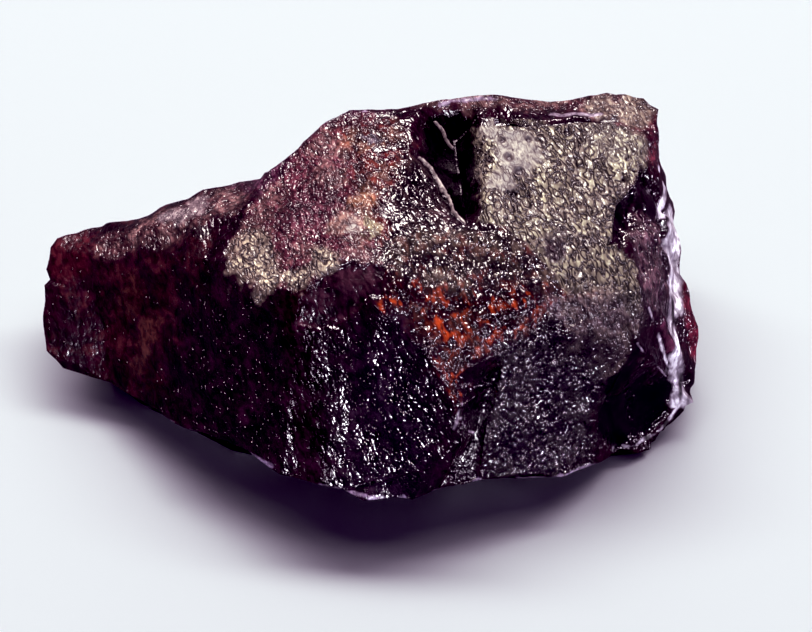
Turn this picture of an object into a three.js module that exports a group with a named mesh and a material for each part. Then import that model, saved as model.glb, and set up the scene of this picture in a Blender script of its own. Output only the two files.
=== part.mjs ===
// A rough painite crystal, lying on its one flat face.
//
// Millimetres, +Z up. +X runs along the crystal to its blunt end, the thin taper points to -X, and the long
// sloping front faces -Y. The origin is at the middle of the bounding box in plan, on the face it rests on.
//
// Every point of the crystal's skin can be seen from one point inside it, its heart. Named corners and the
// ridges between them make the frame of the big faces, the faces are split into small triangles, and lumps,
// ledges and shell-shaped breaks then move each point in or out along its own direction from the heart. That
// can never make the skin cross itself, so the crystal stays one closed solid.

import * as THREE from 'three';
import { ConvexHull } from 'three/addons/math/ConvexHull.js';
import { SimplexNoise } from 'three/addons/math/SimplexNoise.js';

// ---- Driving dimensions, mm ----

const crystalLength = 20.0;

// The heart, and how far the skin lies from it along each axis.
const heart = new THREE.Vector3(1.2, 0.6, 2.3);
const halfSize = new THREE.Vector3(10.0, 6.2, 4.0);

// The longest triangle edge on the upper faces, on the hidden ones, in a break and on the rest face.
const topEdge = 0.5;
const hiddenEdge = 0.85;
const breakEdge = 0.32;
const restEdge = 1.6;

// How wide the lumps are, and how far they stand out from the flat faces.
const lumpSize = 2.6;
const lumpHeight = 0.07;
const knobSize = 1.3;
const knobHeight = 0.035;
const taperLumpSize = 1.9;
const taperLumpHeight = 0.09;

// Upright grooves in the blunt end, and level ledges across the back.
const endGrooveSpacing = 1.1;
const endGrooveDepth = 0.06;
const backLedgeSpacing = 1.4;
const backLedgeDepth = 0.06;

const reliefSeed = 7;

// ---- Corners, mm, with the heights above the rest face ----

const corner = {
  // the sharp lower rim, from the thin tip round the front to the blunt end
  tipFar: [-10.0, 0.8, 2.0],
  tipLow: [-9.9, -0.2, 1.6],
  tipUnder: [-9.4, -0.5, 1.1],
  tipHeel: [-8.4, -0.6, 1.0],
  rimA: [-8.0, -1.1, 1.2],
  rimB: [-6.9, -2.1, 1.6],
  rimC: [-5.6, -3.4, 2.1],
  rimD: [-4.5, -4.1, 2.4],
  rimE: [-3.7, -4.5, 2.5],
  rimF: [-2.7, -5.5, 2.6],
  rimG: [-1.6, -5.7, 2.5],
  rimH: [-0.8, -5.8, 2.4],
  rimI: [-0.2, -6.2, 2.3],
  rimJ: [0.7, -6.0, 2.2],
  rimK: [1.3, -6.1, 2.2],
  rimL: [2.1, -5.7, 2.2],
  rimM: [3.3, -5.4, 2.2],
  rimN: [5.2, -4.8, 1.7],
  rimO: [5.9, -4.8, 1.5],
  rimP: [7.0, -3.9, 1.0],
  rimQ: [7.6, -3.1, 0.6],
  footA: [8.2, -3.1, 0.3],
  footB: [8.8, -3.1, 0.3],
  footC: [8.9, -2.9, 0.5],
  rimR: [8.8, -2.7, 0.9],
  rimS: [9.1, -2.3, 1.0],
  endLow: [9.9, -1.7, 1.0],

  // the outline of the blunt end, going up
  endA: [9.9, -1.0, 1.3],
  endNotch: [9.8, -0.5, 1.5],
  endB: [10.0, -0.2, 1.7],
  endFar: [10.0, 0.3, 2.2],
  endC: [9.8, 1.1, 2.8],
  endD: [9.5, 1.6, 3.1],
  endE: [9.3, 1.7, 3.4],
  endF: [9.5, 2.2, 3.5],
  endG: [9.4, 2.7, 3.9],
  endH: [9.1, 3.1, 4.5],
  endI: [8.8, 3.5, 5.6],
  endJ: [8.8, 5.0, 5.9],
  endTop: [8.8, 5.7, 6.0],

  // the back ridge, from the blunt end to the shoulder
  backA: [8.3, 6.0, 6.1],
  backB: [7.2, 6.1, 6.3],
  backC: [6.2, 5.9, 6.3],
  backD: [5.5, 5.8, 6.3],
  backE: [4.8, 5.9, 6.4],
  backF: [3.9, 5.9, 6.6],
  backG: [2.7, 5.7, 6.7],
  backH: [1.7, 5.4, 6.8],
  backI: [0.8, 5.1, 6.9],
  backJ: [0.0, 4.8, 7.0],
  backK: [-0.6, 5.0, 6.9],
  backL: [-1.3, 4.6, 6.9],
  backM: [-2.0, 4.0, 6.7],
  backN: [-2.4, 3.7, 6.5],
  backO: [-3.1, 3.3, 6.1],

  // the far ridge of the taper
  farA: [-3.3, 3.8, 5.0],
  farB: [-4.5, 3.6, 4.9],
  farC: [-5.5, 3.4, 4.7],
  farD: [-6.5, 3.5, 4.0],
  farE: [-7.4, 3.3, 3.5],
  farF: [-8.4, 3.4, 3.0],
  farG: [-9.4, 3.1, 2.8],
  farH: [-9.8, 2.9, 2.7],
  farI: [-9.9, 2.2, 2.5],
  tipNotch: [-9.8, 1.9, 2.4],
  tipUp: [-10.0, 1.7, 2.4],

  // the top of the taper
  topA: [-4.2, 2.1, 5.7],
  topB: [-5.4, 2.0, 5.3],
  topC: [-6.7, 2.3, 4.5],
  topD: [-8.0, 2.6, 3.5],
  topE: [-8.9, 2.4, 3.1],
  creaseA: [-4.2, 0.3, 5.8],
  creaseB: [-5.2, 0.6, 5.4],
  creaseC: [-6.4, 1.4, 4.5],
  creaseD: [-7.6, 1.7, 3.7],
  creaseE: [-8.6, 1.8, 3.0],
  creaseF: [-9.3, 1.5, 2.6],

  // the shoulder, the crystal's highest face
  shoulderLeft: [-3.6, 2.7, 5.9],
  shoulderFoot: [-3.5, 3.5, 5.2],
  shoulderCorner: [-4.0, -0.1, 6.0],
  shoulderA: [-3.6, -1.0, 6.0],
  shoulderB: [-2.1, -1.5, 6.6],
  shoulderC: [-1.5, -1.2, 6.9],
  shoulderD: [-0.9, -0.8, 7.2],
  shoulderE: [0.3, -1.0, 7.2],
  shoulderMid: [-2.1, 1.2, 6.8],
  shoulderTop: [-0.5, 1.4, 7.3],
  shoulderBack: [-0.8, 3.7, 7.1],

  // the hollow between the shoulder and the plateau
  hollowLeftA: [1.3, 4.6, 7.0],
  hollowLeftB: [1.1, 2.9, 7.2],
  hollowLeftC: [0.8, 1.2, 7.3],
  hollowLeftD: [1.1, 0.0, 7.2],
  hollowSlopeA: [1.6, 3.2, 6.9],
  hollowSlopeB: [2.4, 2.1, 6.6],
  hollowSlopeC: [3.0, 0.7, 6.8],
  hollowBedA: [2.4, 5.2, 6.5],
  hollowBedB: [2.6, 4.4, 6.2],
  hollowBedC: [2.7, 3.3, 6.1],
  hollowBedD: [2.8, 2.0, 6.3],
  hollowRightA: [3.3, 4.6, 7.1],
  hollowRightB: [3.6, 3.4, 7.1],
  hollowRightC: [3.4, 2.6, 6.9],
  hollowRightD: [3.5, 1.2, 7.0],

  // the plateau and the low step in front of it
  plateauLeft: [4.1, 2.3, 7.0],
  plateauA: [4.8, 4.5, 7.0],
  plateauB: [6.4, 4.8, 6.7],
  plateauC: [7.5, 5.0, 6.5],
  plateauD: [8.2, 4.4, 6.4],
  plateauE: [8.2, 2.8, 6.3],
  plateauF: [7.6, 2.0, 6.4],
  plateauG: [7.5, 1.2, 6.4],
  plateauH: [7.2, 0.4, 6.4],
  plateauI: [7.9, 0.5, 6.2],
  plateauJ: [8.2, -0.8, 5.7],
  stepA: [3.9, 0.3, 6.9],
  stepB: [5.3, 0.3, 6.7],
  stepC: [5.9, -0.3, 6.5],
  stepD: [7.0, -1.2, 5.9],

  // the middle, and the ridge that runs down the front from it
  middleA: [-0.2, -1.5, 7.0],
  middleB: [0.1, -2.0, 6.7],
  middleC: [0.8, -2.6, 6.4],
  middleD: [1.7, -3.3, 5.9],
  middleE: [2.3, -3.9, 5.3],
  middleF: [2.8, -4.5, 4.8],
  middleG: [2.8, -5.2, 4.0],
  apronA: [0.4, -5.6, 2.6],
  apronB: [1.8, -5.6, 3.1],
  middleH: [0.9, -1.7, 6.9],
  middleI: [3.0, -3.0, 5.7],
  middleJ: [2.7, -1.3, 6.6],
  middleK: [4.8, -1.5, 6.2],

  // the front plate, right of the groove
  plateTopA: [4.1, -2.8, 5.3],
  plateTopB: [5.3, -2.2, 5.2],
  plateTopC: [6.7, -2.0, 5.3],
  plateTopD: [7.8, -1.3, 5.2],
  plateLeftA: [3.9, -3.6, 4.3],
  plateLeftB: [3.5, -4.4, 3.4],
  grooveA: [3.7, -3.4, 4.3],
  grooveB: [3.3, -4.2, 3.4],
  plateRightA: [7.8, -2.0, 4.2],
  plateRightB: [7.0, -2.4, 3.7],
  plateRightC: [6.9, -3.1, 2.6],
  plateRightD: [6.5, -3.9, 1.7],

  // the dark band down the right side, and the blunt end beside it
  bandA: [8.8, 1.7, 5.3],
  bandB: [8.8, -0.2, 4.8],
  bandC: [9.0, -0.9, 3.4],
  bandD: [9.4, -1.6, 1.6],
  breakTop: [8.1, -1.9, 4.5],
  breakRight: [9.2, -1.5, 1.9],
  breakLeft: [7.1, -2.8, 2.7],
  endRidgeA: [9.3, 0.5, 3.3],
  endRidgeB: [9.4, -0.3, 2.8],

  // the rim round the back
  hemA: [9.9, 0.3, 0.9],
  hemB: [9.5, 2.4, 1.2],
  hemC: [8.9, 4.4, 1.8],
  hemD: [7.0, 5.6, 2.2],
  hemE: [3.0, 6.0, 2.6],
  hemF: [-1.0, 5.2, 2.4],
  hemG: [-4.0, 4.5, 1.8],
  hemH: [-7.0, 3.6, 1.5],
  hemI: [-9.2, 2.6, 1.3],

  // the upright faces of the back, half way up
  wallA: [8.9, 5.3, 4.0],
  wallB: [6.5, 6.3, 4.6],
  wallC: [2.5, 6.3, 4.8],
  wallD: [-0.8, 5.3, 4.8],
  wallE: [-3.0, 4.2, 4.4],

  // the flat face it rests on
  restA: [-7.9, 0.3, 0.0],
  restB: [-6.8, -1.2, 0.0],
  restC: [-4.2, -2.8, 0.0],
  restD: [-0.8, -3.7, 0.0],
  restE: [3.0, -3.8, 0.0],
  restF: [6.6, -3.1, 0.0],
  restG: [8.2, -2.5, 0.0],
  restH: [8.5, -0.6, 0.0],
  restI: [8.0, 1.8, 0.0],
  restJ: [6.0, 3.7, 0.0],
  restK: [2.0, 4.2, 0.0],
  restL: [-2.4, 3.5, 0.0],
  restM: [-5.4, 2.4, 0.0],
  restN: [-7.4, 1.5, 0.0],
};

// ---- Ridges, each a chain of corners ----

const ridges = [
  // rims and outlines
  'tipUp tipFar tipLow tipUnder tipHeel rimA rimB rimC rimD rimE rimF rimG rimH rimI rimJ rimK rimL rimM',
  'rimM rimN rimO rimP rimQ footA footB footC rimR rimS endLow',
  'endLow endA endNotch endB endFar endC endD endE endF endG endH endI endJ endTop',
  'endTop backA backB backC backD backE backF backG backH backI backJ backK backL backM backN backO',
  'farA farB farC farD farE farF farG farH farI tipNotch tipUp',
  'endLow hemA hemB hemC hemD hemE hemF hemG hemH hemI tipFar',
  'endI wallA wallB wallC wallD wallE farA',
  'endTop wallA hemC',
  'backC wallB hemD',
  'backG wallC hemE',
  'backL wallD hemF',
  'backO wallE hemG',
  // taper
  'topA topB topC topD topE farI',
  'creaseA creaseB creaseC creaseD creaseE creaseF tipUp',
  'creaseC rimC',
  'creaseE rimA',
  // shoulder
  'backO shoulderLeft topA shoulderCorner shoulderA shoulderB shoulderC shoulderD shoulderE',
  'shoulderFoot topA creaseA shoulderCorner',
  'farA shoulderFoot',
  'backJ shoulderBack shoulderTop shoulderE',
  'shoulderMid shoulderB',
  // hollow
  'backH hollowLeftA hollowLeftB hollowLeftC hollowLeftD middleJ',
  'hollowLeftB hollowSlopeA hollowSlopeB hollowSlopeC',
  'backG hollowBedA hollowBedB hollowBedC hollowBedD hollowSlopeC',
  'hollowRightA hollowRightB hollowRightC hollowRightD stepA',
  // plateau
  'hollowRightA plateauA plateauB plateauC plateauD plateauE plateauF plateauG plateauH plateauI plateauJ',
  'hollowRightB plateauLeft hollowRightD',
  'stepA stepB stepC stepD plateauJ',
  'plateauC endTop',
  // middle
  'shoulderE middleA middleB middleC middleD middleE middleF middleG rimL',
  'rimH apronA apronB middleG',
  'middleA rimH',
  'middleH middleI plateTopA',
  'middleK plateTopB',
  // plate
  'plateTopA plateTopB plateTopC plateTopD plateauJ',
  'plateTopA plateLeftA plateLeftB rimM',
  'plateTopA grooveA grooveB rimM',
  'plateTopD plateRightA plateRightB plateRightC plateRightD rimO',
  // right side
  'endI bandA bandB bandC bandD endLow',
  'plateauD endJ',
  'plateauJ breakTop breakRight bandD',
  'breakTop plateRightA',
  'breakTop breakLeft rimQ',
  'endE endRidgeA endRidgeB endA',
  // rest face
  'restA restB restC restD restE restF restG restH restI restJ restK restL restM restN restA',
];

// ---- Shell-shaped breaks, each a ball that bites into the skin, mm ----

const breaks = [
  // the glassy break at the foot of the blunt end
  { at: [10.6, -5.3, 2.9], radius: 4.1 },
  // the chip in the plateau's right edge
  { at: [8.1, 1.5, 7.1], radius: 0.95 },
  // the dent in the step in front of the plateau
  { at: [5.6, 0.1, 7.2], radius: 0.65 },
].map(({ at, radius }) => ({ centre: new THREE.Vector3(...at), radius }));

// ---- The frame: corners joined by a hull of their directions, with every ridge laid as an edge ----

const names = Object.keys(corner);
const points = names.map((name) => new THREE.Vector3(...corner[name]));

// The direction of a point from the heart, in a space in which the crystal is about as deep as it is long.
function directionOf(point) {
  return point.clone().sub(heart).divide(halfSize).normalize();
}

function hullTriangles() {
  const directions = points.map(directionOf);
  const indexOf = new Map(directions.map((item, index) => [item, index]));
  const hull = new ConvexHull().setFromPoints(directions);
  return hull.faces.map((face) => {
    const loop = [];
    let edge = face.edge;
    do {
      loop.push(indexOf.get(edge.head().point));
      edge = edge.next;
    } while (edge !== face.edge);
    return loop;
  });
}

function edgeKey(a, b) {
  return a < b ? `${a} ${b}` : `${b} ${a}`;
}

function edgeEnds(key) {
  return key.split(' ').map(Number);
}

// The two triangles beside each edge.
function edgesOf(triangles) {
  const edges = new Map();
  triangles.forEach((triangle, index) => {
    for (let k = 0; k < 3; k += 1) {
      const key = edgeKey(triangle[k], triangle[(k + 1) % 3]);
      if (!edges.has(key)) {
        edges.set(key, []);
      }
      edges.get(key).push(index);
    }
  });
  return edges;
}

// Six times the volume between the heart and a triangle: above zero while the triangle faces outward.
function wedge(a, b, c) {
  const [toA, toB, toC] = [a, b, c].map((index) => points[index].clone().sub(heart));
  return toA.dot(toB.cross(toC));
}

// The corner of a triangle that isn't on the edge a-b.
function farCorner(triangle, a, b) {
  return triangle.find((index) => index !== a && index !== b);
}

// Swaps the edge a-b for the one between the far corners of its two triangles, if both stay outward.
function flipEdge(triangles, edges, a, b) {
  const smallestWedge = 1e-4;
  const [left, right] = edges.get(edgeKey(a, b));
  const farLeft = farCorner(triangles[left], a, b);
  const farRight = farCorner(triangles[right], a, b);
  const after = triangles[left][(triangles[left].indexOf(a) + 1) % 3];
  const [start, end] = after === b ? [a, b] : [b, a];
  const isTaken = edges.has(edgeKey(farLeft, farRight));
  if (isTaken || Math.min(wedge(start, farRight, farLeft), wedge(farRight, end, farLeft)) < smallestWedge) {
    return false;
  }
  triangles[left] = [start, farRight, farLeft];
  triangles[right] = [farRight, end, farLeft];
  edges.delete(edgeKey(a, b));
  edges.set(edgeKey(farLeft, farRight), [left, right]);
  const startSides = edges.get(edgeKey(start, farRight));
  startSides[startSides.indexOf(right)] = left;
  const endSides = edges.get(edgeKey(farLeft, end));
  endSides[endSides.indexOf(left)] = right;
  return true;
}

// Whether two edges cross as seen from the heart.
function edgesCross(a, b, u, v) {
  if (a === u || a === v || b === u || b === v) {
    return false;
  }
  const [toA, toB, toU, toV] = [a, b, u, v].map((index) => points[index].clone().sub(heart));
  const acrossFirst = toA.clone().cross(toB);
  const acrossSecond = toU.clone().cross(toV);
  const firstParts = acrossFirst.dot(toU) * acrossFirst.dot(toV) < 0;
  const secondParts = acrossSecond.dot(toA) * acrossSecond.dot(toB) < 0;
  return firstParts && secondParts && toA.add(toB).dot(toU.add(toV)) > 0;
}

// Flips the edges in the way until there is one from a to b.
function layRidge(triangles, edges, a, b) {
  const mostRounds = 40;
  for (let round = 0; round < mostRounds && !edges.has(edgeKey(a, b)); round += 1) {
    const inTheWay = [...edges.keys()].map(edgeEnds).filter(([u, v]) => edgesCross(a, b, u, v));
    inTheWay.forEach(([u, v]) => flipEdge(triangles, edges, u, v));
  }
  if (!edges.has(edgeKey(a, b))) {
    throw new Error(`The ridge from ${names[a]} to ${names[b]} crosses another.`);
  }
}

function layFrame() {
  const triangles = hullTriangles();
  const edges = edgesOf(triangles);
  const ridgeEdges = new Set();
  for (const chain of ridges) {
    const stops = chain.split(' ').map((name) => names.indexOf(name));
    for (let i = 1; i < stops.length; i += 1) {
      layRidge(triangles, edges, stops[i - 1], stops[i]);
      ridgeEdges.add(edgeKey(stops[i - 1], stops[i]));
    }
  }
  return { triangles, ridgeEdges };
}

// ---- Finer triangles ----

function longestEdgeAt(point) {
  if (point.z < 0.02) {
    return restEdge;
  }
  if (breaks.some(({ centre, radius }) => point.distanceTo(centre) < radius + 0.1)) {
    return breakEdge;
  }
  const isBehind = point.y > 4.9 && point.z < 5.6;
  const isUnder = point.z < 1.6 && Math.hypot(point.x / 9.2, point.y / 4.6) < 1;
  return isBehind || isUnder ? hiddenEdge : topEdge;
}

// The edges that are too long, the worst first.
function longEdges(edges) {
  const found = [];
  for (const key of edges.keys()) {
    const [a, b] = edgeEnds(key);
    const halfway = points[a].clone().lerp(points[b], 0.5);
    const excess = points[a].distanceTo(points[b]) / longestEdgeAt(halfway);
    if (excess > 1) {
      found.push({ key, a, b, halfway, excess });
    }
  }
  return found.sort((one, other) => other.excess - one.excess);
}

// Splits long edges at their middle, each triangle once, and says whether any were left to split.
function splitLongEdges(triangles, ridgeEdges) {
  const edges = edgesOf(triangles);
  const touched = new Set();
  const tooLong = longEdges(edges);
  for (const { key, a, b, halfway } of tooLong) {
    const sides = edges.get(key);
    if (sides.some((index) => touched.has(index))) {
      continue;
    }
    const fresh = points.push(halfway) - 1;
    for (const index of sides) {
      const whole = triangles[index];
      triangles[index] = whole.map((tip) => (tip === b ? fresh : tip));
      triangles.push(whole.map((tip) => (tip === a ? fresh : tip)));
      touched.add(index);
    }
    if (ridgeEdges.delete(key)) {
      ridgeEdges.add(edgeKey(a, fresh));
      ridgeEdges.add(edgeKey(fresh, b));
    }
  }
  return tooLong.length > 0;
}

// A vector square to a triangle, as long as twice its area.
function squareTo(triangle) {
  const [a, b, c] = triangle.map((index) => points[index]);
  return b.clone().sub(a).cross(c.clone().sub(a));
}

function angleAt(tip, a, b) {
  return points[a].clone().sub(points[tip]).angleTo(points[b].clone().sub(points[tip]));
}

// Whether an edge lies inside a face, and its other diagonal would give rounder triangles.
function shouldFlip(triangles, [left, right], a, b) {
  const mostBend = THREE.MathUtils.degToRad(12);
  if (squareTo(triangles[left]).angleTo(squareTo(triangles[right])) > mostBend) {
    return false;
  }
  const farAngles = [left, right].map((side) => angleAt(farCorner(triangles[side], a, b), a, b));
  return farAngles[0] + farAngles[1] > Math.PI + 0.01;
}

// Evens out the triangles inside each face, and leaves the ridges alone.
function evenOut(triangles, ridgeEdges) {
  const mostRounds = 6;
  for (let round = 0; round < mostRounds; round += 1) {
    const edges = edgesOf(triangles);
    for (const key of [...edges.keys()]) {
      if (ridgeEdges.has(key) || !edges.has(key)) {
        continue;
      }
      const [a, b] = edgeEnds(key);
      if (shouldFlip(triangles, edges.get(key), a, b)) {
        flipEdge(triangles, edges, a, b);
      }
    }
  }
}

function buildFaces() {
  const mostRounds = 9;
  const { triangles, ridgeEdges } = layFrame();
  evenOut(triangles, ridgeEdges);
  for (let round = 0; round < mostRounds && splitLongEdges(triangles, ridgeEdges); round += 1) {
    evenOut(triangles, ridgeEdges);
  }
  return triangles;
}

// ---- Lumps, grooves and ledges ----

function randomFrom(seed) {
  let state = seed;
  return function next() {
    state = (state + 0x6d2b79f5) >>> 0;
    let mixed = Math.imul(state ^ (state >>> 15), state | 1);
    mixed ^= mixed + Math.imul(mixed ^ (mixed >>> 7), mixed | 61);
    return ((mixed ^ (mixed >>> 14)) >>> 0) / 4294967296;
  };
}

const noise = new SimplexNoise({ random: randomFrom(reliefSeed) });

// Soft noise from about -1 to 1, with lumps as wide as the given size and some half as wide.
function lumps({ x, y, z }, size) {
  const broad = noise.noise3d(x / size, y / size, z / size);
  const finer = noise.noise3d((2 * x) / size + 9, (2 * y) / size, (2 * z) / size);
  return 0.7 * broad + 0.3 * finer;
}

// Wavy lines a given distance apart, from -1 to 1.
function waves(distance, spacing, wander) {
  return Math.sin((2 * Math.PI * distance) / spacing + wander);
}

// How far the skin stands out from the flat faces at a point. The rest face stays flat.
function relief(point, normal) {
  const { smoothstep } = THREE.MathUtils;
  const taper = 1 - smoothstep(point.x, -5.5, -3.5);
  const blunt = smoothstep(normal.x, 0.55, 0.8) * smoothstep(point.x, 8.3, 8.8);
  const back = smoothstep(normal.y, 0.5, 0.8);
  let height = lumpHeight * lumps(point, lumpSize) + knobHeight * lumps(point, knobSize);
  height += taper * taperLumpHeight * lumps(point, taperLumpSize);
  height += blunt * endGrooveDepth * waves(point.y, endGrooveSpacing, lumps(point, 3));
  height += back * backLedgeDepth * waves(point.z, backLedgeSpacing, 1.5 * lumps(point, 4));
  return height * smoothstep(point.z, 0.02, 0.7);
}

// Moves every point in or out from the heart until it stands out by its relief, measured square to the skin.
function raiseRelief(triangles) {
  const leastSlant = 0.4;
  const normals = points.map(() => new THREE.Vector3());
  for (const triangle of triangles) {
    const square = squareTo(triangle);
    triangle.forEach((index) => normals[index].add(square));
  }
  points.forEach((point, index) => {
    const outward = point.clone().sub(heart).normalize();
    const normal = normals[index].normalize();
    const slant = Math.max(normal.dot(outward), leastSlant);
    point.addScaledVector(outward, relief(point, normal) / slant);
  });
}

// Moves the points inside a break's ball in from their place to the near side of the ball.
function cutBreak({ centre, radius }) {
  for (const point of points) {
    if (point.distanceTo(centre) >= radius) {
      continue;
    }
    const outward = point.clone().sub(heart).normalize();
    const toCentre = centre.clone().sub(heart);
    const along = toCentre.dot(outward);
    const offsetSquared = toCentre.lengthSq() - along ** 2;
    point.copy(heart).addScaledVector(outward, along - Math.sqrt(radius ** 2 - offsetSquared));
  }
}

// Sets the crystal to its exact length, with the origin in the middle of its box in plan.
function settle() {
  const box = new THREE.Box3().setFromPoints(points);
  const middle = box.getCenter(new THREE.Vector3()).setZ(0);
  const scale = crystalLength / (box.max.x - box.min.x);
  points.forEach((point) => point.sub(middle).multiplyScalar(scale));
}

// ---- The crystal ----

const triangles = buildFaces();
raiseRelief(triangles);
breaks.forEach(cutBreak);
settle();

const geometry = new THREE.BufferGeometry();
const positions = points.flatMap((point) => point.toArray());
geometry.setAttribute('position', new THREE.Float32BufferAttribute(positions, 3));
geometry.setIndex(triangles.flat());
geometry.computeVertexNormals();

const darkRed = new THREE.MeshStandardMaterial({ color: 0x2c0f16, roughness: 0.25, metalness: 0 });
const crystal = new THREE.Mesh(geometry, darkRed);
crystal.name = 'painite_crystal';

const group = new THREE.Group();
group.add(crystal);

export default group;
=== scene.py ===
import math

import bmesh
import bpy
import numpy as np
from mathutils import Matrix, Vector, noise


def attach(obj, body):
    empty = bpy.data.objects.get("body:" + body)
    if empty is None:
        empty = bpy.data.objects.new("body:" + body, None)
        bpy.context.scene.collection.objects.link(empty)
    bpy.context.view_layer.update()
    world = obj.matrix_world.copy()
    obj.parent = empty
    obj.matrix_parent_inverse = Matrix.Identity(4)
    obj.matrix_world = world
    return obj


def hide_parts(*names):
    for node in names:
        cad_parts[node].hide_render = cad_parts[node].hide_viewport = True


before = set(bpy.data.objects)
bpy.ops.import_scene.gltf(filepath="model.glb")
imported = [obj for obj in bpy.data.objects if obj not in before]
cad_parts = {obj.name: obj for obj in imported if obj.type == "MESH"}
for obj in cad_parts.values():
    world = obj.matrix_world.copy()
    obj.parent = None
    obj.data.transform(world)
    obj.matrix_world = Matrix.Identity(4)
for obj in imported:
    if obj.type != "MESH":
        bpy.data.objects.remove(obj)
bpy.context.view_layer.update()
mm = 0.001

camera = {
    "height": 55.0,  # degrees above the floor
    "distance": 300 * mm,
    "lookAt": (1.08 * mm, -0.69 * mm, 4.0 * mm),
    "fieldWidth": 24.6 * mm,  # how wide the view is at the crystal
    "nearest": 10 * mm,
    "farthest": 2.0,  # m
}


def makeCamera(opts):
    tilt = math.radians(opts["height"])
    back = Vector((0, -math.cos(tilt), math.sin(tilt)))
    data = bpy.data.cameras.new("camera")
    data.sensor_width = 36
    data.lens = data.sensor_width * opts["distance"] / opts["fieldWidth"]
    data.clip_start = opts["nearest"]
    data.clip_end = opts["farthest"]
    cam = bpy.data.objects.new("camera", data)
    cam.location = Vector(opts["lookAt"]) + back * opts["distance"]
    cam.rotation_euler = back.to_track_quat("Z", "Y").to_euler()
    bpy.context.scene.collection.objects.link(cam)
    bpy.context.scene.camera = cam


makeCamera(camera)
print("camera ready")

lights = {
    # where each lamp stands in m, its width and height in mm, its power and colour, and what it shines on
    "key": {
        "at": (0.02, 0.258, 0.369), "size": (850, 120), "watts": 2.44,
        "colour": (1, 0.95, 0.90), "on": "floor",
    },
    "sky": {
        "at": (0.02, 0.290, 0.360), "size": (1100, 760), "watts": 1.65,
        "colour": (1, 0.95, 0.90), "on": "floor",
    },
    "fill": {
        "at": (0.02, -0.20, 0.42), "size": (80, 80), "watts": 0.009,
        "colour": (0.8, 0.7, 1), "on": "floor",
    },
    "top": {
        "at": (0.02, 0.255, 0.372), "size": (280, 160), "watts": 1.65,
        "colour": (1, 0.95, 0.88), "on": "crystal",
    },
    "core": {
        "at": (0.02, 0.245, 0.377), "size": (80, 60), "watts": 1.2,
        "colour": (1, 0.93, 0.82), "on": "crystal",
    },
    "side": {
        "at": (0.42, -0.04, 0.07), "size": (40, 40), "watts": 0.45,
        "colour": (0.95, 0.93, 1), "on": "crystal",
    },
    "window": {
        "at": (0.115, -0.32, 0.265), "size": (38, 38), "watts": 0.92,
        "colour": (0.90, 0.95, 0.96), "on": "crystal",
    },
}
room = {
    "seen": (0.86, 0.88, 0.92),  # what the camera sees past the floor
    "felt": (0.020, 0.012, 0.028),  # what lights the crystal
}

tones = {
    "black": (0.0045, 0.0085, 0.0035),
    "greenDip": ((0.24, 0.195), (0.6, 0.56)),  # dark parts lean to purple
}
# the floor and the crystal each have lamps of their own
lit = {name: bpy.data.collections.new(name + "Lit") for name in ("floor", "crystal")}


def makeLamp(name, opts):
    data = bpy.data.lights.new(name, "AREA")
    data.shape = "ELLIPSE"
    data.size, data.size_y = (s * mm for s in opts["size"])
    data.energy = opts["watts"]
    data.color = opts["colour"]
    lamp = bpy.data.objects.new(name, data)
    lamp.location = opts["at"]
    lamp.rotation_euler = Vector(opts["at"]).to_track_quat("Z", "Y").to_euler()
    lamp.light_linking.receiver_collection = lit[opts["on"]]
    bpy.context.scene.collection.objects.link(lamp)


def makeRoom(opts):
    world = bpy.data.worlds.new("room")
    world.use_nodes = True
    nodes, links = world.node_tree.nodes, world.node_tree.links
    nodes.clear()
    out = nodes.new("ShaderNodeOutputWorld")
    mix = nodes.new("ShaderNodeMixShader")
    path = nodes.new("ShaderNodeLightPath")
    felt = nodes.new("ShaderNodeBackground")
    seen = nodes.new("ShaderNodeBackground")
    felt.inputs["Color"].default_value = (*opts["felt"], 1)
    seen.inputs["Color"].default_value = (*opts["seen"], 1)
    links.new(path.outputs["Is Camera Ray"], mix.inputs[0])
    links.new(felt.outputs[0], mix.inputs[1])
    links.new(seen.outputs[0], mix.inputs[2])
    links.new(mix.outputs[0], out.inputs["Surface"])
    bpy.context.scene.world = world


def setTones(opts):
    view = bpy.context.scene.view_settings
    view.view_transform = "Standard"
    view.use_curve_mapping = True
    view.curve_mapping.black_level = opts["black"]
    green = view.curve_mapping.curves[1]
    for at, to in opts["greenDip"]:
        green.points.new(at, to)
    view.curve_mapping.update()


for name, opts in lights.items():
    makeLamp(name, opts)
makeRoom(room)
setTones(tones)
print("lamps ready")

floor = {
    "halfWidth": 0.6,  # m
    "colour": (0.815, 0.915, 0.98),
    "roughness": 0.6,
    "gloss": 0.2,  # specular level
    "mirrored": (0.035, 0.03, 0.05),  # how bright it looks in the crystal's shine
}


def makeFloor(opts):
    w = opts["halfWidth"]
    mesh = bpy.data.meshes.new("floor")
    mesh.from_pydata([(-w, -w, 0), (w, -w, 0), (w, w, 0), (-w, w, 0)], [], [(0, 1, 2, 3)])
    paper = bpy.data.materials.new("palePaper")
    paper.use_nodes = True
    nodes, links = paper.node_tree.nodes, paper.node_tree.links
    face = nodes["Principled BSDF"]
    face.inputs["Roughness"].default_value = opts["roughness"]
    face.inputs["Specular IOR Level"].default_value = opts["gloss"]
    path = nodes.new("ShaderNodeLightPath")
    mix = nodes.new("ShaderNodeMix")
    mix.data_type = "RGBA"
    mix.inputs[6].default_value = (*opts["colour"], 1)
    mix.inputs[7].default_value = (*opts["mirrored"], 1)
    links.new(path.outputs["Is Glossy Ray"], mix.inputs[0])
    links.new(mix.outputs[2], face.inputs["Base Color"])
    mesh.materials.append(paper)
    obj = bpy.data.objects.new("floor", mesh)
    bpy.context.scene.collection.objects.link(obj)
    lit["floor"].objects.link(obj)


makeFloor(floor)
print("floor ready")


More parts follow.
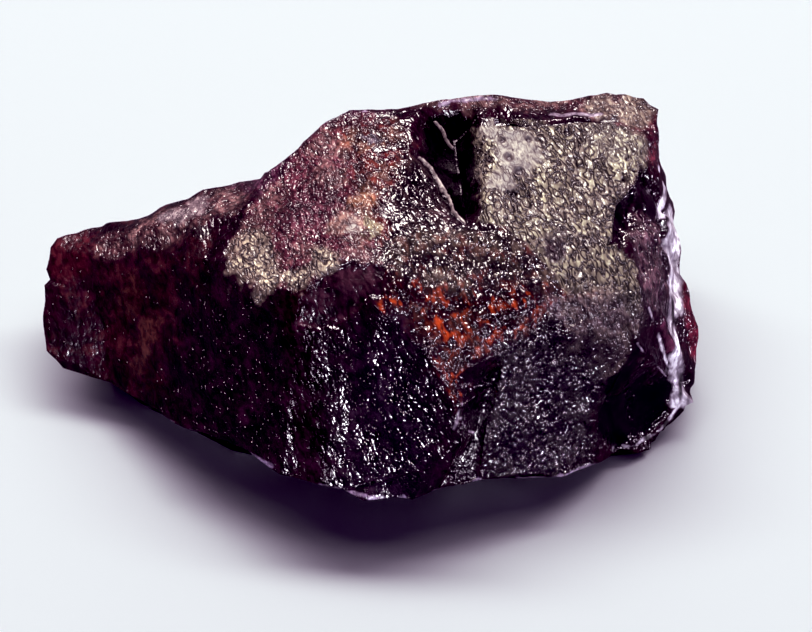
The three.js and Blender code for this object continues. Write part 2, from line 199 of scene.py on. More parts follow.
crystal = {
    "seed": 7,  # of the patch edges' wander
    "fineSide": (0, -0.57, 0.82),  # faces turned this way are cut finer
    "fineReach": 0.09,  # mm either side of a patch's edge that is cut finest
    "sharpEdge": 24.0,  # degrees of bend at which an edge stays crisp
    "etchSize": (0.30, 0.62, 0.36),  # mm across, along and through the strokes
    "etchTurn": (25, 0, 27),  # degrees
    "ragged": 0.30,  # mm the patch edges wander
    "feather": 0.20,  # mm over which a patch fades
    "mergeWithin": 0.002,  # mm between corners that are joined up
    "cutTwice": -0.05,  # how far a face may turn from the fine side and still be cut twice
    "cutThrice": 0.05,
    "topFade": (-0.15, 0.1),  # upward turn over which the flat patches fade in
    "wobbles": ((1.7, 1), (5.0, 0.5), (11.0, 0.3)),  # waves per mm and share of the patch edges' wander
    "clouds": ((1.2, 1), (3.3, 0.7), (8.0, 0.5)),  # the same for a patch's second colour
    "cloudFade": (-0.15, 0.35),
    "spotFade": (1.25, 0.7),  # shares of a spot's reach
    "ribbonFade": (1.4, 0.7),  # shares of a ribbon's half width
    "ribbonStray": (0.04, 0.35),  # mm, and share of its half width, that a ribbon wanders
    "streaks": (5.5, 0.9, 0.9),  # streaks per mm along x, y and z, in the painted reflection on the right end
    "pitFade": 0.3,  # share of a pit's reach
    # colour of the painted shade in the pits
    "pitShade": (0.012, 0.006, 0.008),
    "floorFade": (0.05, 0.6),  # mm above the floor over which the relief fades in
}

# what the skin is like where no patch lies on it
plain = {
    "tint": (0.010, 0.002, 0.005),
    "etch": 0.45,  # how crumpled
    "carve": 0.0,  # worm lines, cut and painted darker as shade where it is below 0
    "rough": 0.2,
    "speck": 0.10,  # share of the tiny bumps that are there
    "gloss": 0.5,  # specular level
    "redGlow": 0.0,  # how much red shows in the flecks: the stone's own red with a painted glow of light shining through it
    "sink": 0.0,  # mm
}

# patches of skin, outlined in mm looking straight down; later ones lie on top
patches = [
    {  # taper, softer and redder
        "tint": (0.012, 0.002, 0.005), "blotch": (0.036, 0.009, 0.010),
        "etch": 0.35, "rough": 0.26,
        "outline": [(-10.5, 3.5), (-6.0, 3.5), (-4.6, 2.2), (-5.2, -0.5), (-6.5, -2.0), (-10.5, -1.0)],
    },
    {  # upper side of the taper
        "tint": (0.045, 0.016, 0.018), "blotch": (0.22, 0.125, 0.115),
        "etch": 0.7, "carve": -0.3, "speck": 0.2, "rough": 0.30,
        "outline": [
            (-8.4, 2.7), (-6.4, 2.8), (-4.2, 3.5), (-2.8, 3.2), (-3.9, 2.1), (-5.8, 1.5), (-8.1, 1.9),
        ],
    },
    {  # back edge of the shoulder
        "tint": (0.030, 0.006, 0.016), "blotch": (0.11, 0.045, 0.075),
        "etch": 0.5, "carve": 0.3, "rough": 0.25,
        "outline": [
            (-4.2, 3.6), (-2.0, 5.2), (0.8, 5.6), (0.6, 4.5), (-0.6, 4.6), (-2.2, 3.4), (-3.3, 2.2),
        ],
    },
    {  # back band, red-brown lumps
        "tint": (0.045, 0.012, 0.017), "blotch": (0.19, 0.11, 0.095),
        "etch": 0.9, "carve": -0.4, "rough": 0.26,
        "outline": [(0.8, 5.2), (3.2, 5.3), (5.7, 5.1), (8.1, 5.1), (9.2, 5.9), (7.0, 6.6), (0.8, 6.2)],
    },
    {  # scattered specks low on the front
        "feather": 0.7,
        "tint": (0.006, 0.001, 0.004), "blotch": (0.014, 0.005, 0.010),
        "etch": 0.3, "speck": 0.50, "rough": 0.18,
        "outline": [
            (-5.6, -0.2), (-4.2, -1.0), (-2.2, -2.4), (-0.9, -2.4), (0.9, -2.6), (1.2, -6.6), (-1.2, -6.4),
            (-4.0, -5.2), (-6.2, -3.2),
        ],
    },
    {  # shoulder
        "tint": (0.095, 0.025, 0.036), "blotch": (0.19, 0.095, 0.090),
        "etch": 1.0, "carve": -0.4, "rough": 0.24,
        "outline": [
            (-4.0, -0.1), (-4.1, 1.0), (-3.3, 2.1), (-2.4, 3.4), (-1.4, 4.4), (-0.2, 4.6), (0.5, 4.1),
            (0.4, 2.9), (0.1, 1.3), (0.3, -0.1), (0.4, -0.9), (-1.1, -0.9), (-1.4, -1.1), (-1.7, -1.4),
            (-2.1, -1.5), (-3.3, -1.1),
        ],
    },
    {  # smooth dark strip under the shoulder
        "ragged": 0.2, "feather": 0.08,
        "tint": (0.010, 0.003, 0.006), "blotch": (0.04, 0.015, 0.022),
        "etch": 0.25, "rough": 0.2, "sink": 0.10,
        "outline": [(-2.1, -1.7), (-1.2, -1.1), (0.4, -1.0), (0.6, -1.7), (-0.9, -2.3), (-2.2, -2.4)],
    },
    {  # middle band
        "tint": (0.016, 0.010, 0.010), "blotch": (0.060, 0.048, 0.034),
        "etch": 1.2, "speck": 0.2, "rough": 0.18,
        "redGlow": 0.10, "gloss": 0.65,
        "outline": [
            (0.2, 0.2), (2.6, 0.6), (4.5, 0.4), (5.3, -0.5), (5.7, -1.2), (3.9, -1.5), (2.1, -1.6),
            (0.5, -1.2),
        ],
    },
    {  # plateau, its cream tint a painted sheen of the lamp light it reflects
        "ragged": 0.24, "feather": 0.10,
        "tint": (0.27, 0.25, 0.175), "blotch": (0.19, 0.168, 0.13),
        "etch": 0.7, "carve": -0.95, "rough": 0.27,
        "outline": [
            (3.2, 4.3), (4.5, 4.5), (7.0, 4.8), (7.7, 4.7), (8.3, 3.9), (8.2, 2.9), (7.6, 1.9), (7.3, 0.4),
            (7.9, -0.1), (8.1, -0.9), (7.9, -1.4), (7.0, -1.4), (5.7, -1.2), (5.3, -0.5), (4.5, 0.2),
            (3.3, 0.8),
            (3.3, 2.0), (3.1, 3.6),
        ],
    },
    {  # hollow
        "tint": (0.002, 0.001, 0.002),
        "etch": 0.15, "speck": 0.04, "rough": 0.14, "gloss": 0.06, "sink": 0.06,
        "outline": [(1.6, 4.9), (3.2, 5.1), (3.2, 3.5), (3.2, 1.6), (2.6, 0.9), (2.1, 1.6), (1.4, 3.2)],
    },
    {  # speckled bed beside the hollow
        "feather": 0.4,
        "tint": (0.006, 0.003, 0.005), "blotch": (0.035, 0.022, 0.022),
        "etch": 0.8, "speck": 0.45, "rough": 0.16,
        "outline": [(0.7, 3.4), (1.4, 3.2), (2.1, 1.4), (2.7, 0.5), (0.6, 0.1)],
    },
    {  # orange-brown seam between the shoulder and the bed
        "feather": 0.35,
        "tint": (0.050, 0.015, 0.014), "blotch": (0.17, 0.085, 0.055),
        "etch": 1.0, "carve": -0.3, "speck": 0.2, "rough": 0.22,
        "redGlow": 0.2,
        "outline": [
            (-0.9, 4.3), (0.7, 4.4), (1.1, 3.5), (0.5, 2.0), (0.4, 0.0), (-0.2, -0.2), (-0.6, 1.2),
            (-0.7, 3.0),
        ],
    },
    {  # red patch in the middle of the front, its flecks painted with a red glow of light shining through the stone
        "feather": 0.35,
        "tint": (0.014, 0.003, 0.004), "blotch": (0.050, 0.018, 0.012),
        "etch": 1.0, "speck": 0.2, "rough": 0.17,
        "redGlow": 0.5, "gloss": 0.5,
        "outline": [
            (0.4, -1.4), (2.1, -1.6), (5.7, -1.2), (6.6, -1.2), (5.1, -2.0), (3.9, -2.8), (3.0, -3.6),
            (2.6, -4.4), (2.3, -4.2), (1.8, -3.3), (0.9, -2.3),
        ],
    },
    {  # plate on the right of the front
        "tint": (0.006, 0.004, 0.007), "blotch": (0.022, 0.019, 0.019),
        "etch": 1.05, "speck": 0.45, "rough": 0.10,
        "gloss": 0.8,
        "outline": [
            (3.9, -2.8), (5.1, -2.0), (7.0, -1.4), (8.2, -1.7), (7.3, -2.5), (7.0, -3.0), (6.7, -4.0),
            (5.7, -4.9), (3.6, -5.6), (3.5, -4.2), (3.4, -3.7),
        ],
    },
    {  # top of that plate, made lighter by painted highlight on its strokes
        "feather": 0.3,
        "tint": (0.070, 0.050, 0.052), "blotch": (0.15, 0.115, 0.10),
        "etch": 1.0, "carve": -0.3, "speck": 0.3, "rough": 0.24,
        "outline": [(5.3, -1.5), (6.7, -1.1), (8.1, -1.2), (8.0, -1.9), (7.1, -2.3), (6.0, -2.1)],
    },
    {  # speckled foot of the middle ridge
        "feather": 1.0,
        "tint": (0.006, 0.003, 0.007), "blotch": (0.020, 0.012, 0.022),
        "etch": 0.5, "speck": 0.8, "rough": 0.12,
        "gloss": 0.75,
        "outline": [
            (-0.8, -5.6), (-0.7, -4.0), (-0.2, -2.9), (0.9, -2.8), (1.8, -3.8), (2.2, -5.0),
            (1.6, -6.4), (0.0, -6.6),
        ],
    },
    {  # dark groove left of the plate
        "tint": (0.006, 0.002, 0.005), "etch": 0.5, "speck": 0.15, "rough": 0.2, "sink": 0.10,
        "outline": [
            (2.9, -3.3), (3.8, -2.9), (3.6, -3.8), (3.5, -4.6), (3.3, -5.9), (2.5, -5.9), (2.6, -4.7),
        ],
    },
    {  # dark chip out of the plateau's right side
        "ragged": 0.07, "feather": 0.05,
        "tint": (0.004, 0.001, 0.003), "etch": 0.12, "speck": 0.0, "rough": 0.14, "sink": 0.20,
        "outline": [
            (8.4, 3.4), (8.0, 2.4), (7.5, 1.9), (7.2, 0.2), (7.8, 0.65), (8.2, 0.5), (9.0, 0.9),
            (9.0, 2.6),
        ],
    },
    {  # broken right side, full of glints
        "tint": (0.020, 0.006, 0.014), "blotch": (0.10, 0.060, 0.070),
        "etch": 1.6, "speck": 0.4, "rough": 0.10,
        "outline": [(8.0, 1.8), (8.8, 1.9), (8.95, 0.9), (8.9, -0.6), (8.3, -1.0), (8.15, 0.2), (7.9, 0.6)],
    },
    {  # back right corner
        "tint": (0.035, 0.006, 0.014), "blotch": (0.12, 0.026, 0.036),
        "etch": 0.8, "speck": 0.15, "rough": 0.22,
        "outline": [(7.0, 5.2), (8.2, 5.6), (9.0, 5.2), (8.8, 3.4), (8.3, 3.5), (7.8, 4.5)],
    },
    {  # glassy break at the front right
        "ragged": 0.12, "feather": 0.06,
        "tint": (0.002, 0.001, 0.002), "etch": 0.03, "speck": 0.02, "rough": 0.12, "sink": 0.06,
        "outline": [
            (7.2, -2.5), (8.0, -2.1), (8.5, -1.85), (9.3, -1.5), (9.0, -2.1), (8.4, -2.7), (7.4, -3.4),
            (6.9, -3.6),
            (7.0, -3.0),
        ],
    },
]

# spots that change only some of the skin: x, y and reach in mm
spots = [
    # the cream spots on the shoulder are painted highlight, where its flat bits catch the lamp
    (-3.7, 0.6, 0.50, {"tint": (0.27, 0.21, 0.16), "carve": -0.9, "rough": 0.28}),
    (-3.5, -0.1, 0.70, {"tint": (0.38, 0.32, 0.24), "carve": -0.9, "rough": 0.28}),
    (-3.0, -0.9, 0.45, {"tint": (0.38, 0.32, 0.24), "carve": -0.9, "rough": 0.28}),
    (-2.2, -1.1, 0.35, {"tint": (0.38, 0.32, 0.24), "carve": -0.9, "rough": 0.28}),
    (-1.5, -0.8, 0.50, {"tint": (0.38, 0.32, 0.24), "carve": -0.9, "rough": 0.28}),
    (-0.8, 0.5, 0.45, {"tint": (0.30, 0.17, 0.13), "etch": 0.35, "carve": -0.25, "rough": 0.42}),
    (0.0, 0.3, 0.32, {"tint": (0.36, 0.32, 0.20), "etch": 0.6, "carve": -0.6}),
    (-0.2, 1.4, 0.35, {"tint": (0.26, 0.13, 0.07)}),
    (0.4, 3.1, 0.38, {"tint": (0.03, 0.004, 0.008), "etch": 0.3, "rough": 0.18}),
    (0.1, 3.7, 0.16, {"tint": (0.20, 0.18, 0.22), "speck": 0.6}),
    # cream spots on the back band: painted highlight on its lumps
    (8.0, 5.4, 0.6, {"tint": (0.26, 0.21, 0.16), "carve": -0.6}),
    (7.2, 5.4, 0.5, {"tint": (0.24, 0.19, 0.15), "carve": -0.6}),
    (7.9, -2.55, 0.16, {"etch": 0.9}),
    (-1.9, 1.2, 0.8, {"tint": (0.10, 0.032, 0.044)}),
    (-9.2, 2.4, 0.7, {"tint": (0.050, 0.008, 0.011), "etch": 0.25}),
    (-5.9, 2.5, 0.42, {"tint": (0.34, 0.27, 0.28)}),
    (-5.2, 2.7, 0.34, {"tint": (0.30, 0.23, 0.24)}),
    (-7.3, 0.5, 0.50, {"tint": (0.045, 0.015, 0.011)}),
    (-6.7, -0.5, 0.45, {"tint": (0.042, 0.014, 0.011)}),
    (-7.0, -1.2, 0.35, {"tint": (0.055, 0.020, 0.016)}),
    # smoother parts of the plateau, their pale tint a painted sheen
    (4.5, 3.3, 0.8, {"etch": 0.16, "carve": -0.15, "tint": (0.22, 0.20, 0.172), "rough": 0.5}),
    (3.9, 2.2, 0.45, {"etch": 0.2, "carve": -0.2, "tint": (0.22, 0.20, 0.172), "rough": 0.5}),
    (3.7, 4.1, 0.4, {"etch": 0.2, "carve": -0.2, "tint": (0.22, 0.20, 0.172), "rough": 0.5}),
    # a brighter corner of the plateau: painted highlight
    (7.6, 3.9, 0.80, {"tint": (0.30, 0.28, 0.21), "carve": -0.7}),
    (6.9, 4.3, 0.60, {"tint": (0.28, 0.26, 0.20), "carve": -0.7}),
    (5.6, 0.1, 0.42, {"tint": (0.012, 0.004, 0.006), "carve": 1.0, "rough": 0.4}),
    (0.7, -2.0, 0.32, {"redGlow": 1.0}),
    (2.4, -2.5, 0.50, {"redGlow": 1.0}),
    (3.5, -2.3, 0.40, {"redGlow": 1.0}),
    (2.6, -3.8, 0.30, {"redGlow": 0.9}),
    (4.6, -1.6, 0.35, {"redGlow": 0.8}),
    (0.5, -2.5, 0.22, {"speck": 1.0, "etch": 1.5}),
    (-2.3, -1.9, 0.50, {"gloss": 0.12}),
    (-2.1, -2.8, 0.60, {"gloss": 0.12}),
    (-2.0, -3.7, 0.60, {"gloss": 0.12}),
    (-1.9, -4.6, 0.60, {"gloss": 0.12}),
    (-1.7, -5.4, 0.60, {"gloss": 0.15}),
    (1.6, -3.2, 0.22, {"speck": 1.0, "etch": 1.5}),
]

# ribbons along ridges: 3-D path and half width in mm
# the lavender on the steep right end is a painted reflection of the pale floor, with streaks through it
lavenderReflection = {"tint": (0.74, 0.66, 0.80), "etch": 0.25, "carve": 0, "speck": 0, "rough": 0.5, "streak": 0.9}
# pale lines: painted highlight along lit edges and ledges
paleGlintLine = {"tint": (0.42, 0.35, 0.46), "etch": 0.1, "carve": 0, "speck": 0, "rough": 0.4}
# cream lines: painted highlight along the curved ridges by the hollow
creamGlintLine = {
    "tint": (0.46, 0.40, 0.38), "etch": 0.3, "carve": 0, "speck": 0,
    "rough": 0.3, "sink": -0.04, "flat": True,
}
ribbons = [
    ([(9.1, 2.6, 4.2), (9.2, 1.9, 3.9), (9.3, 1.2, 3.5), (9.3, 0.3, 3.3)], 0.42, lavenderReflection),
    ([(8.8, 4.2, 4.8), (8.9, 3.2, 5.0), (8.95, 2.4, 5.0)], 0.15, lavenderReflection),
    ([(9.15, 0.4, 3.5), (9.2, -0.5, 3.2), (9.3, -1.2, 2.4), (9.45, -1.85, 1.2)], 0.24, lavenderReflection),
    ([(9.5, -1.8, 1.5), (9.7, -1.8, 1.0)], 0.18, lavenderReflection),
    ([(9.0, -0.9, 3.9), (9.15, -1.2, 3.0)], 0.16, {"tint": (0.10, 0.02, 0.05), "etch": 0.2, "rough": 0.3}),
    ([(8.4, -1.0, 4.9), (8.8, -1.3, 3.4), (9.3, -1.5, 1.6)], 0.05, lavenderReflection),
    ([(8.1, -2.0, 4.4), (8.45, -1.95, 3.5), (8.8, -1.7, 2.7), (9.3, -1.6, 1.5)], 0.03, paleGlintLine),
    ([(7.4, -3.4, 0.8), (7.9, -3.1, 0.6), (8.8, -2.5, 0.5), (9.4, -1.9, 1.0)], 0.055, lavenderReflection),
    (
        [(9.7, 1.1, 2.9), (9.8, 0.2, 2.5), (9.9, -0.4, 1.7)],
        0.32, {"tint": (0.10, 0.010, 0.022), "etch": 0.8, "speck": 0.2, "rough": 0.2},
    ),
    # pale lines along the lower front rim: painted highlight of the lit edge
    (
        [(-9.1, -0.8, 1.0), (-7.3, -1.3, 0.4), (-6.1, -3.1, 1.9), (-3.0, -5.2, 2.6), (-1.1, -5.9, 2.4),
         (0.0, -6.2, 2.3)],
        0.06, {"tint": (0.20, 0.15, 0.24), "etch": 0.3, "rough": 0.34},
    ),
    (
        [(0.0, -6.2, 2.3), (1.0, -6.1, 2.2), (2.1, -5.2, 1.4), (3.3, -5.5, 2.2), (4.5, -4.5, 0.8),
         (5.7, -4.9, 1.5), (6.7, -4.2, 1.1), (7.6, -3.3, 0.3)],
        0.07, {"tint": (0.30, 0.24, 0.36), "etch": 0.3, "rough": 0.34},
    ),
    (
        [(-2.6, 3.6, 6.4), (-1.1, 4.6, 6.8), (-0.2, 4.8, 6.9)],
        0.07, {**paleGlintLine, "tint": (0.32, 0.25, 0.36)},
    ),
    (
        [(2.1, 5.3, 6.7), (3.3, 5.6, 6.6), (4.5, 5.6, 6.4)],
        0.06, {**paleGlintLine, "tint": (0.26, 0.20, 0.28), "etch": 0.6},
    ),
    (
        [(5.5, 4.95, 6.6), (6.3, 5.05, 6.6), (7.0, 5.15, 6.4)],
        0.08, {**paleGlintLine, "tint": (0.38, 0.31, 0.40), "etch": 0.3},
    ),
    (  # crack along the back of the plateau
        [(3.9, 4.35, 7.1), (4.8, 4.35, 7.0), (5.7, 4.6, 6.8), (6.7, 4.8, 6.6), (7.5, 4.95, 6.5)],
        0.10,
        {"tint": (0.006, 0.002, 0.004), "etch": 0.3, "carve": 0, "rough": 0.2, "sink": 0.14, "flat": True},
    ),
    ([(2.8, -4.45, 4.8), (2.6, -4.8, 4.5), (2.5, -4.95, 4.2)], 0.045, paleGlintLine),
    ([(2.8, -4.8, 4.5), (3.1, -4.7, 3.7), (3.2, -4.6, 3.2)], 0.045, paleGlintLine),
    (
        [(1.5, 3.15, 6.9), (1.85, 2.9, 6.8), (2.1, 2.35, 6.6), (2.35, 1.9, 6.6), (2.5, 1.3, 6.7),
         (2.85, 0.8, 6.8)],
        0.03, creamGlintLine,
    ),
    ([(2.0, 4.7, 6.6), (2.2, 4.5, 6.5), (2.3, 4.2, 6.4), (2.5, 4.0, 6.3)], 0.025, creamGlintLine),
]

# round pits in the plateau, sunk and painted dark as shade: x, y and reach in mm
pits = [
    (4.5, 2.6, 0.21), (4.2, 3.1, 0.17), (3.6, 3.0, 0.19), (4.3, 1.8, 0.19), (4.8, 1.8, 0.16),
    (7.8, 3.5, 0.15), (6.0, 4.2, 0.2), (5.7, 4.3, 0.15), (7.7, 2.7, 0.13), (8.0, 3.1, 0.12),
    (4.0, 3.7, 0.14), (4.8, 3.8, 0.15),
]


def signedDistance(x, y, outline):
    # positive inside the outline
    best = np.full(len(x), 1e9)
    inside = np.zeros(len(x), bool)
    for (ax, ay), (bx, by) in zip(outline, outline[1:] + outline[:1]):
        ex, ey = bx - ax, by - ay
        t = np.clip(((x - ax) * ex + (y - ay) * ey) / (ex * ex + ey * ey), 0, 1)
        best = np.minimum(best, np.hypot(x - ax - t * ex, y - ay - t * ey))
        crosses = (ay > y) != (by > y)
        inside ^= crosses & (x < ax + (y - ay) * ex / (ey if ey else 1e-9))
    return np.where(inside, best, -best)


def ramp(v, lo, hi):
    t = np.clip((v - lo) / (hi - lo), 0, 1)
    return t * t * (3 - 2 * t)


def distanceToPath(co, path):
    best = np.full(len(co), 1e9)
    for a, b in zip(path, path[1:]):
        a, b = np.array(a), np.array(b)
        t = np.clip((co - a) @ (b - a) / ((b - a) @ (b - a)), 0, 1)
        best = np.minimum(best, np.linalg.norm(co - a - t[:, None] * (b - a), axis=1))
    return best


def wanderAt(points):
    # a slow, a middling and a quick wobble added up
    slow, middling, quick = crystal["wobbles"]
    return np.array([
        noise.noise_vector(p * slow[0]) * slow[1]
        + noise.noise_vector(p * middling[0]) * middling[1]
        + noise.noise_vector(p * quick[0]) * quick[1]
        for p in points
    ])


def cloudAt(points):
    # where a patch shows its second colour, 0 to 1
    parts = crystal["clouds"]
    cloud = np.array([sum(noise.noise(p * waves) * share for waves, share in parts) for p in points])
    return ramp(cloud, *crystal["cloudFade"])


def nearDetail(points):
    # which points are close to a patch's edge, a ribbon or a pit
    co, wander = np.array(points), wanderAt(points)
    reach = crystal["fineReach"]
    near = np.zeros(len(co), bool)
    for patch in patches:
        strayed = co + wander * patch.get("ragged", crystal["ragged"])
        near |= np.abs(signedDistance(strayed[:, 0], strayed[:, 1], patch["outline"])) < reach
    for path, half, change in ribbons:
        near |= distanceToPath(co, path) < half + reach
    for x, y, size in pits:
        near |= np.hypot(co[:, 0] - x, co[:, 1] - y) < size
    return near


def cutInHalf(bm, wanted):
    # each edge once, in the order of the faces, so that every run cuts the same way
    edges = list(dict.fromkeys(e for f in bm.faces if wanted(f) for e in f.edges))
    bmesh.ops.subdivide_edges(bm, edges=edges, cuts=1, use_grid_fill=True)
    bm.normal_update()


def denseCopy(name):
    # the solid's loose triangles joined up, then cut finer, most of all along the edges of the patches
    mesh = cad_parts[name].data.copy()
    mesh.materials.clear()
    bm = bmesh.new()
    bm.from_mesh(mesh)
    bmesh.ops.remove_doubles(bm, verts=bm.verts, dist=crystal["mergeWithin"] * mm)
    bm.normal_update()
    sharp = bm.verts.layers.float.new("sharp")
    limit = math.radians(crystal["sharpEdge"])
    front = Vector(crystal["fineSide"])
    cutInHalf(bm, lambda f: True)
    cutInHalf(bm, lambda f: f.normal.dot(front) > crystal["cutTwice"])
    bm.faces.index_update()
    near = nearDetail([f.calc_center_median() / mm for f in bm.faces])
    cutInHalf(bm, lambda f: near[f.index] and f.normal.dot(front) > crystal["cutThrice"])
    for edge in bm.edges:
        if edge.calc_face_angle(0) > limit:
            for vert in edge.verts:
                vert[sharp] = 1.0
    bm.to_mesh(mesh)
    bm.free()
    return mesh


def blendIn(values, share, wanted):
    for key in wanted:
        if key in values:
            values[key] += (np.atleast_1d(wanted[key]) - values[key]) * share[:, None]


def paintSkin(mesh):
    count = len(mesh.vertices)
    co = np.zeros(count * 3, np.float32)
    mesh.vertices.foreach_get("co", co)
    co = co.reshape(-1, 3).astype(float) / mm
    topSide = ramp(np.array([v.normal.z for v in mesh.vertices]), *crystal["topFade"])
    points = [Vector(p) for p in co]
    wander = wanderAt(points)
    cloud = cloudAt(points)
    values = {key: np.tile(np.atleast_1d(plain[key]).astype(float), (count, 1)) for key in plain}
    for patch in patches:
        strayed = co + wander * patch.get("ragged", crystal["ragged"])
        distance = signedDistance(strayed[:, 0], strayed[:, 1], patch["outline"])
        soft = patch.get("feather", crystal["feather"])
        tint = np.array(patch["tint"])
        tint = tint + (patch.get("blotch", tint) - tint) * cloud[:, None]
        wanted = {**plain, **patch, "tint": tint}
        blendIn(values, ramp(distance, -soft, soft) * topSide, wanted)
    strayed = co + wander * crystal["ragged"]
    outer, inner = crystal["spotFade"]
    for x, y, reach, change in spots:
        distance = np.hypot(strayed[:, 0] - x, strayed[:, 1] - y)
        blendIn(values, ramp(distance, reach * outer, reach * inner) * topSide, change)
    streaks = np.array([noise.noise(p * Vector(crystal["streaks"])) for p in points])
    outer, inner = crystal["ribbonFade"]
    stray, strayShare = crystal["ribbonStray"]
    for path, half, change in ribbons:
        change = dict(change)
        if "streak" in change:
            shade = 1 + 2 * change["streak"] * np.minimum(streaks, 0.1)
            change["tint"] = np.array(change["tint"]) * shade[:, None]
        strayed = co + wander * (stray + strayShare * half)
        if "flat" in change:  # measured looking straight down
            distance = distanceToPath(strayed[:, :2], [point[:2] for point in path])
            share = ramp(distance, half * outer, half * inner) * topSide
        else:
            share = ramp(distanceToPath(strayed, path), half * outer, half * inner)
        blendIn(values, share, change)
    sunk = np.zeros(count)
    for x, y, reach in pits:
        distance = np.hypot(co[:, 0] - x, co[:, 1] - y)
        sunk = np.maximum(sunk, ramp(distance, reach, reach * crystal["pitFade"]) * topSide)
    # the pits are painted dark: painted shade
    blendIn(values, sunk, {"tint": crystal["pitShade"]})
    values["pit"] = sunk[:, None]
    values["raised"] = ramp(co[:, 2], *crystal["floorFade"])[:, None]
    for key, value in values.items():
        if value.shape[1] == 3:
            layer = mesh.attributes.new(key, "FLOAT_COLOR", "POINT")
            layer.data.foreach_set("color", np.c_[value, np.ones(count)].ravel())
        else:
            layer = mesh.attributes.new(key, "FLOAT", "POINT")
            layer.data.foreach_set("value", value.ravel())


# inputs of the relief tree
relief = {
    "Etch Depth": 0.035 * mm,
    "Lump Depth": 0.05 * mm,
    "Lump Size": 0.9,  # mm
    "Pit Depth": 0.10 * mm,
    "Sink Unit": 1.0 * mm,  # how deep a sink of 1 goes
    "Soften": 2,
    "Seed": 3.0,
}


def reliefTree(material):
    tree = bpy.data.node_groups.new("crystalRelief", "GeometryNodeTree")
    face = tree.interface
    face.new_socket("Geometry", in_out="INPUT", socket_type="NodeSocketGeometry")
    for label, value in relief.items():
        kind = "NodeSocketInt" if isinstance(value, int) else "NodeSocketFloat"
        face.new_socket(label, in_out="INPUT", socket_type=kind)
    face.new_socket("Geometry", in_out="OUTPUT", socket_type="NodeSocketGeometry")
    nodes, links = tree.nodes, tree.links
    start = nodes.new("NodeGroupInput")
    end = nodes.new("NodeGroupOutput")

    def named(name):
        node = nodes.new("GeometryNodeInputNamedAttribute")
        node.data_type = "FLOAT"
        node.inputs["Name"].default_value = name
        return node.outputs["Attribute"]

    def maths(kind, a, b=0.0):
        node = nodes.new("ShaderNodeMath")
        node.operation = kind
        for socket, value in zip(node.inputs, (a, b)):
            if isinstance(value, (int, float)):
                socket.default_value = value
            else:
                links.new(value, socket)
        return node.outputs[0]

    def vector(kind, a, b):
        node = nodes.new("ShaderNodeVectorMath")
        node.operation = kind
        links.new(a, node.inputs[0])
        target = node.inputs["Scale"] if kind == "SCALE" else node.inputs[1]
        if isinstance(b, (int, float, tuple)):
            target.default_value = b
        else:
            links.new(b, target)
        return node.outputs[0]

    def turned(socket):
        node = nodes.new("ShaderNodeVectorRotate")
        node.rotation_type = "EULER_XYZ"
        node.invert = True
        node.inputs["Rotation"].default_value = [math.radians(a) for a in crystal["etchTurn"]]
        links.new(socket, node.inputs["Vector"])
        return node.outputs[0]

    def noiseOf(where, detail, scale=1.0):
        node = nodes.new("ShaderNodeTexNoise")
        node.noise_dimensions = "4D"
        node.inputs["Scale"].default_value = scale
        node.inputs["Detail"].default_value = detail
        links.new(where, node.inputs["Vector"])
        links.new(start.outputs["Seed"], node.inputs["W"])
        return node.outputs[0]

    position = nodes.new("GeometryNodeInputPosition").outputs[0]
    normal = nodes.new("GeometryNodeInputNormal").outputs[0]

    # soften everything but the crisp edges
    blur = nodes.new("GeometryNodeBlurAttribute")
    blur.data_type = "FLOAT_VECTOR"
    links.new(position, blur.inputs["Value"])
    links.new(start.outputs["Soften"], blur.inputs["Iterations"])
    links.new(maths("SUBTRACT", 1.0, named("sharp")), blur.inputs["Weight"])
    softened = nodes.new("GeometryNodeSetPosition")
    links.new(start.outputs["Geometry"], softened.inputs["Geometry"])
    links.new(blur.outputs["Value"], softened.inputs["Position"])

    # strokes of the etching, then broad lumps
    inMm = vector("SCALE", position, 1000.0)
    size = crystal["etchSize"]
    strokes = noiseOf(vector("MULTIPLY", turned(inMm), tuple(1 / s for s in size)), 1.0, 0.6)
    lump = maths("DIVIDE", 1.0, start.outputs["Lump Size"])
    lumps = noiseOf(vector("SCALE", inMm, lump), 2.0)
    etchRise = maths("MULTIPLY", maths("SUBTRACT", strokes, 0.5), start.outputs["Etch Depth"])
    etchRise = maths("MULTIPLY", maths("MULTIPLY", etchRise, 4.0), named("etch"))
    lumpRise = maths("MULTIPLY", maths("SUBTRACT", lumps, 0.5), start.outputs["Lump Depth"])
    rise = maths("MULTIPLY", maths("ADD", etchRise, maths("MULTIPLY", lumpRise, 2.0)), named("raised"))
    rise = maths("SUBTRACT", rise, maths("MULTIPLY", named("pit"), start.outputs["Pit Depth"]))
    rise = maths("SUBTRACT", rise, maths("MULTIPLY", named("sink"), start.outputs["Sink Unit"]))
    raised = nodes.new("GeometryNodeSetPosition")
    links.new(softened.outputs[0], raised.inputs["Geometry"])
    links.new(vector("SCALE", normal, rise), raised.inputs["Offset"])

    dressed = nodes.new("GeometryNodeSetMaterial")
    dressed.inputs["Material"].default_value = material
    links.new(raised.outputs[0], dressed.inputs["Geometry"])
    links.new(dressed.outputs[0], end.inputs[0])
    return tree


def applied(obj, tree):
    # runs the tree once and keeps what it makes as a plain mesh
    modifier = obj.modifiers.new("relief", "NODES")
    modifier.node_group = tree
    for item in tree.interface.items_tree:
        if item.name in relief:
            modifier[item.identifier] = relief[item.name]
    graph = bpy.context.evaluated_depsgraph_get()
    seen = obj.evaluated_get(graph)
    made = bpy.data.meshes.new_from_object(seen, preserve_all_data_layers=True, depsgraph=graph)
    obj.modifiers.remove(modifier)
    obj.data = made
    for polygon in made.polygons:
        polygon.use_smooth = True


